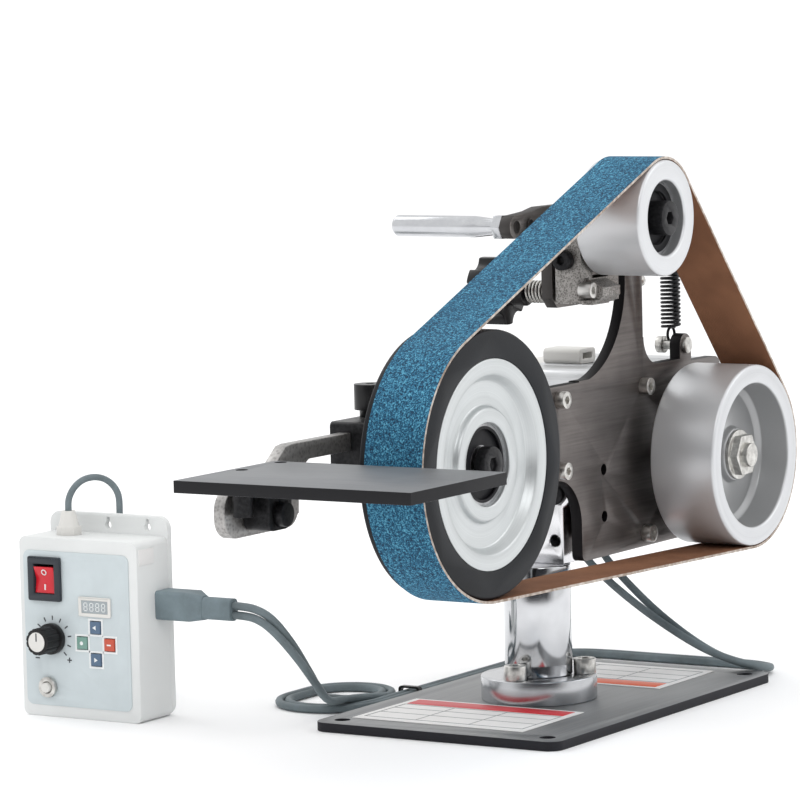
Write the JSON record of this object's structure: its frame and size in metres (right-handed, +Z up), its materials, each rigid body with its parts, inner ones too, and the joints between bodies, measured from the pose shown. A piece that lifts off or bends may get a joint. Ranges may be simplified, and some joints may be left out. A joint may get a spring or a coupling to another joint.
{
  "type": "belt grinder",
  "caption": "Bench belt grinder with a contact wheel, motor-driven wheel and sprung tracking wheel on a tilting head, adjustable work rest and a speed control box.",
  "frame": {"origin": "centre of the base plate's underside", "axes": "+X from the contact wheel towards the drive wheel, -Y the side that the wheel faces look to, +Z up"},
  "size_m": [0.3727, 0.299, 0.2274],
  "materials": {
    "plate_steel": "satin sheet steel",
    "dark_steel": "dark brushed steel",
    "arm_steel": "mottled laser-cut steel",
    "chromed": "polished chrome",
    "machined": "turned aluminium",
    "cast_grey": "speckled casting",
    "bright_steel": "bright steel",
    "black_steel": "black oxide",
    "rubber": "smooth rubber",
    "abrasive": "coated abrasive",
    "motor_alu": "ribbed extrusion",
    "white_plastic": "moulded",
    "box_plastic": "textured moulding",
    "panel_film": "printed film",
    "black_plastic": "moulded",
    "grey_rubber": "cable sheath",
    "red_plastic": "polished",
    "key_blue": "soft key",
    "key_green": "soft key",
    "key_red": "soft key",
    "board_green": "circuit board"
  },
  "bodies": {
    "stand": {"base_plate": "plate_steel", "column": "chromed", "column_flange": "chromed", "flange_screws": "bright_steel", "column_head": "bright_steel", "tilt_bolt": "black_steel", "box_shell": "box_plastic", "box_back": "box_plastic", "control_panel": "panel_film", "rocker_bezel": "black_plastic", "display_frame": "white_plastic", "start_ring": "bright_steel", "circuit_board": "board_green", "mains_gland": "white_plastic", "cable_boot": "grey_rubber", "motor_cable_a": "grey_rubber", "motor_cable_b": "grey_rubber", "cable_tie": "black_plastic", "mains_cable": "grey_rubber", "mains_coil": "grey_rubber", "mains_plug": "grey_rubber"},
    "head": {"main_plate": "dark_steel", "head_bracket": "plate_steel", "head_screws": "bright_steel", "motor_body": "motor_alu", "motor_cap": "white_plastic", "motor_terminal": "white_plastic", "contact_arm": "plate_steel", "contact_axle": "black_steel", "belt": "abrasive", "rest_holder": "black_steel", "tension_pivot": "black_steel"},
    "drive": {"motor_shaft": "bright_steel", "drive_wheel": "machined", "drive_nut": "bright_steel"},
    "contact_wheel": {"contact_hub": "machined", "contact_tyre": "rubber", "contact_bearings": "bright_steel"},
    "tracking_wheel": {"tracking_roller": "machined", "tracking_bearings": "bright_steel"},
    "tension_arm": {"tension_lever": "dark_steel", "pivot_block": "dark_steel", "tension_handle": "chromed", "tension_spring": "black_steel"},
    "yoke": {"tracking_yoke": "cast_grey", "tracking_axle": "black_steel"},
    "tracking_screw": {"tracking_knob": "black_plastic"},
    "arm_clamp": {"arm_clamp_lever": "black_plastic"},
    "rest_bar": {"rest_arm": "arm_steel", "rest_pivot": "black_steel"},
    "rest_clamp": {"rest_clamp_lever": "black_plastic"},
    "work_rest": {"rest_plate": "plate_steel", "rest_block": "black_steel"},
    "power_rocker": {"rocker": "red_plastic"},
    "speed_dial": {"speed_knob": "black_plastic"},
    "start_key": {"start_button": "bright_steel"},
    "up_key": {"key_up": "key_blue"},
    "down_key": {"key_down": "key_blue"},
    "left_key": {"key_left": "key_green"},
    "right_key": {"key_right": "key_red"}
  },
  "joints": [
    {"name": "head_tilt", "type": "hinge", "parent": "stand", "child": "head", "pos_m": [0, -0.008, 0.089], "axis": [1, 0, 0], "range_deg": [-90, 0], "deforming": ["motor_cable_a", "motor_cable_b"]},
    {"name": "drive_spin", "type": "hinge", "parent": "head", "child": "drive", "pos_m": [0.081, -0.04, 0.098], "axis": [0, 1, 0], "continuous": true},
    {"name": "contact_spin", "type": "hinge", "parent": "head", "child": "contact_wheel", "pos_m": [-0.13, -0.04, 0.117], "axis": [0, 1, 0], "continuous": true},
    {"name": "tension_swing", "type": "hinge", "parent": "head", "child": "tension_arm", "pos_m": [0.0435, -0.0085, 0.19], "axis": [0, 1, 0], "range_deg": [-12, 0], "stiffness_Nm_per_rad": 6, "springref_deg": 20.05, "deforming": ["tension_spring", "belt"]},
    {"name": "tracking_knob_turn", "type": "hinge", "parent": "tension_arm", "child": "tracking_screw", "pos_m": [0.001, 0, 0.172], "axis": [0, 1, 0], "range_deg": [-270, 270]},
    {"name": "tracking_tilt", "type": "hinge", "parent": "tension_arm", "child": "yoke", "pos_m": [0.007, -0.0175, 0.186], "axis": [1, 0, 0], "range_deg": [-3.1, 3.1]},
    {"name": "tracking_spin", "type": "hinge", "parent": "yoke", "child": "tracking_wheel", "pos_m": [0.0072, -0.04, 0.2025], "axis": [0, 1, 0], "continuous": true},
    {"name": "arm_clamp_turn", "type": "hinge", "parent": "head", "child": "arm_clamp", "pos_m": [-0.024, 0, 0.1155], "axis": [0, 1, 0], "range_deg": [0, 90]},
    {"name": "rest_slide", "type": "slide", "parent": "head", "child": "rest_bar", "axis": [-1, 0, 0], "range_m": [0, 0.018]},
    {"name": "rest_clamp_turn", "type": "hinge", "parent": "head", "child": "rest_clamp", "pos_m": [-0.112, 0.0121, 0.131], "axis": [0, 0, 1], "range_deg": [0, 120]},
    {"name": "rest_tilt", "type": "hinge", "parent": "rest_bar", "child": "work_rest", "pos_m": [-0.199, 0.004, 0.104], "axis": [0, 1, 0], "range_deg": [-25, 0]},
    {"name": "rocker_tilt", "type": "hinge", "parent": "stand", "child": "power_rocker", "pos_m": [-0.1065, 0.1762, 0.0578], "axis": [0, 1, 0], "range_deg": [0, 16]},
    {"name": "speed_knob_turn", "type": "hinge", "parent": "stand", "child": "speed_dial", "pos_m": [-0.112, 0.1734, 0.033], "axis": [1, 0, 0], "range_deg": [-150, 150]},
    {"name": "start_press", "type": "slide", "parent": "stand", "child": "start_key", "axis": [1, 0, 0], "range_m": [0, 0.0015], "stiffness_N_per_m": 300, "springref_m": -0.001},
    {"name": "up_press", "type": "slide", "parent": "stand", "child": "up_key", "axis": [1, 0, 0], "range_m": [0, 0.0008], "stiffness_N_per_m": 300, "springref_m": -0.001},
    {"name": "down_press", "type": "slide", "parent": "stand", "child": "down_key", "axis": [1, 0, 0], "range_m": [0, 0.0008], "stiffness_N_per_m": 300, "springref_m": -0.001},
    {"name": "left_press", "type": "slide", "parent": "stand", "child": "left_key", "axis": [1, 0, 0], "range_m": [0, 0.0008], "stiffness_N_per_m": 300, "springref_m": -0.001},
    {"name": "right_press", "type": "slide", "parent": "stand", "child": "right_key", "axis": [1, 0, 0], "range_m": [0, 0.0008], "stiffness_N_per_m": 300, "springref_m": -0.001}
  ],
  "couplings": [
    {"joint": "contact_spin", "follows": "drive_spin", "ratio": 0.7403},
    {"joint": "tracking_spin", "follows": "drive_spin", "ratio": 1.6186},
    {"joint": "tracking_tilt", "follows": "tracking_knob_turn", "ratio": 0.0114}
  ]
}
